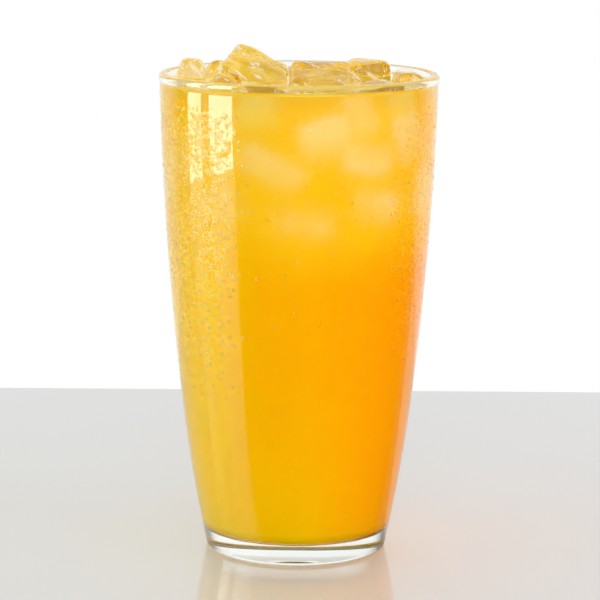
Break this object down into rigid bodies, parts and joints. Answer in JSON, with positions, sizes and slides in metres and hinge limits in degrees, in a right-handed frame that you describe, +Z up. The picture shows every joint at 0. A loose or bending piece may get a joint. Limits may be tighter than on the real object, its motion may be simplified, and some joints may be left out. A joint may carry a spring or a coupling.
{
  "type": "glass of orangeade with ice",
  "caption": "Tall clear drinking glass with a rounded lip and thick foot, filled with orangeade and floating ice.",
  "frame": {"origin": "centre of the foot, on the plane that the glass stands on", "axes": "+Z up along the glass's axis; the side shown faces -Y, with +X to its right"},
  "size_m": [0.0868, 0.0868, 0.1578],
  "materials": {
    "glass": "clear, polished, with fine condensation",
    "orangeade": "cloudy orange liquid with a wet surface",
    "ice": "clear melted ice with white frost inside"
  },
  "bodies": {
    "root": {"glass": "glass", "orangeade": "orangeade", "ice_peak": "ice", "ice_middle": "ice", "ice_right": "ice", "ice_left": "ice", "ice_left_back": "ice", "ice_left_front": "ice", "ice_far_right": "ice", "ice_back": "ice", "ice_back_right": "ice", "ice_front": "ice", "ice_front_right": "ice"}
  },
  "joints": []
}
